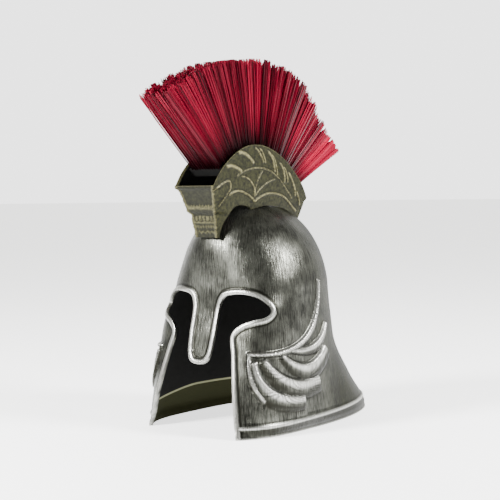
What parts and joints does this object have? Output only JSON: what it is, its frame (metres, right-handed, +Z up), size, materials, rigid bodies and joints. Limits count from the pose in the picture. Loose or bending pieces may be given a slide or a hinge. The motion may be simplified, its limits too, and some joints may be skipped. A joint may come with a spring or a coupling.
{
  "type": "helmet",
  "caption": "Greek helmet with nose guard, winged cheek guards, flared neck and a red bristle crest in a carved holder on the dome",
  "frame": {"origin": "on the floor, under the middle of the overall box", "axes": "+Z up, face towards -Y, wearer's left towards +X"},
  "size_m": [0.2184, 0.382, 0.4741],
  "materials": {
    "antique_silver": "brushed antique silver paint, worn bright on the raised edges",
    "olive_bronze": "dark olive bronze paint with pale dry-brushed edges",
    "black_block": "matt black",
    "crimson_bristle": "satin crimson bristles"
  },
  "bodies": {
    "root": {"helmet_shell": "antique_silver", "crest_holder": "olive_bronze", "brush_block": "black_block", "plume": "crimson_bristle"}
  },
  "joints": []
}
